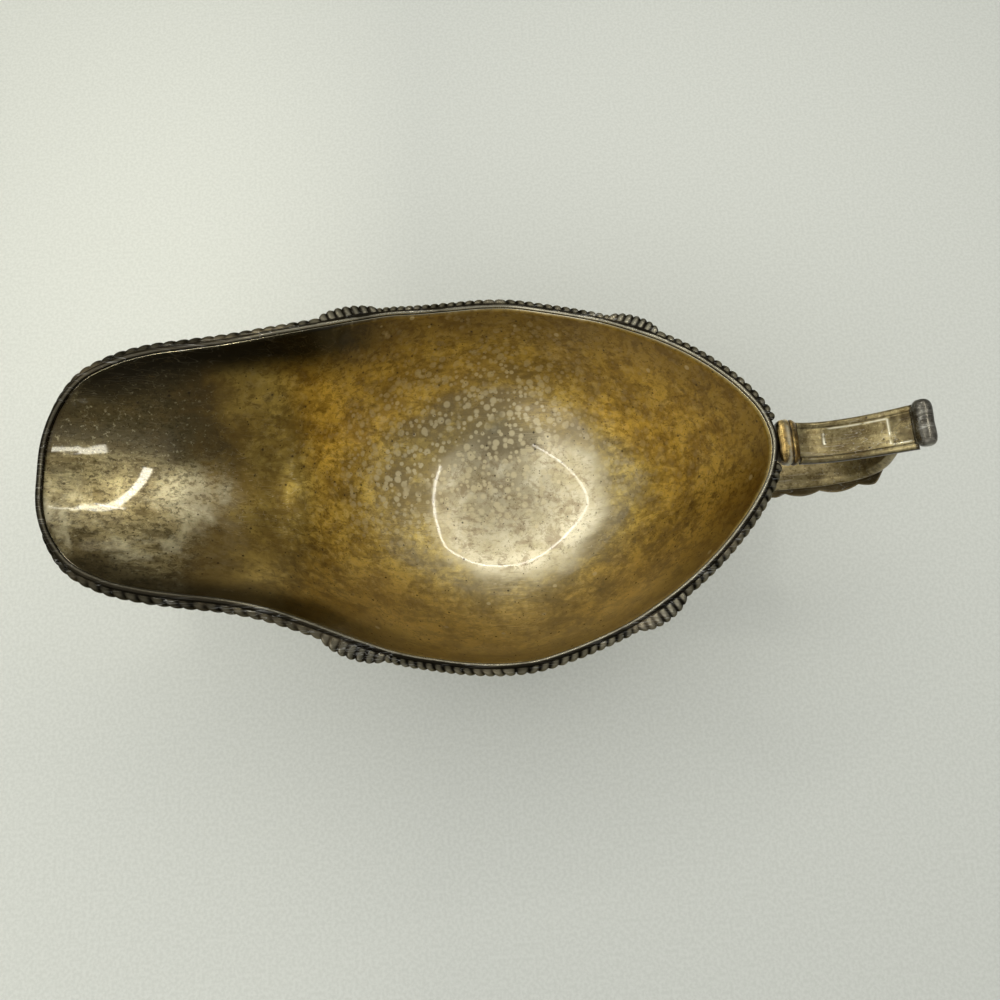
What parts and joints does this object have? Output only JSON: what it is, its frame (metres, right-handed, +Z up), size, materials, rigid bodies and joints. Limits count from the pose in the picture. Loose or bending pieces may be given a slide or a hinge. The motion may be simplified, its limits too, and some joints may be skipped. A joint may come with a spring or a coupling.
{
  "type": "footed sauce boat",
  "caption": "Oval sauce boat on legs, with a broad pouring spout, a lobed border with shells, and a scroll handle with a leaf and a rolled end.",
  "frame": {"origin": "on the ground plane under the feet, at the middle of the bounding box", "axes": "+X runs along the boat towards the handle, -X towards the pouring lip; +Y is the right-hand side when pouring; +Z is up"},
  "size_m": [0.2297, 0.1128, 0.0989],
  "materials": {
    "silver": "plated silver on base metal, tarnished; the inside of the bowl is washed with gilt, mottled and worn through to silver at the bottom",
    "dark_silver": "cast silver ornament, dark in the recesses and bright on the high points"
  },
  "bodies": {
    "root": {"body_shell": "silver", "rim_bead": "silver", "gadroon_spout_right": "dark_silver", "gadroon_spout_left": "dark_silver", "gadroon_side_front_right": "dark_silver", "gadroon_side_front_left": "dark_silver", "gadroon_side_rear_right": "dark_silver", "gadroon_side_rear_left": "dark_silver", "gadroon_rear_right": "dark_silver", "gadroon_rear_left": "dark_silver", "rim_shell_front_right": "dark_silver", "rim_shell_front_left": "dark_silver", "rim_shell_rear_right": "dark_silver", "rim_shell_rear_left": "dark_silver", "handle_clasp": "silver", "handle_strap": "silver", "handle_roll": "dark_silver", "handle_scroll": "silver", "handle_leaf": "silver", "handle_boss": "silver", "leg_front_right": "silver", "leg_front_left": "silver", "leg_rear": "silver", "knee_shell_front_right": "dark_silver", "knee_shell_front_left": "dark_silver", "knee_shell_rear": "dark_silver"}
  },
  "joints": []
}
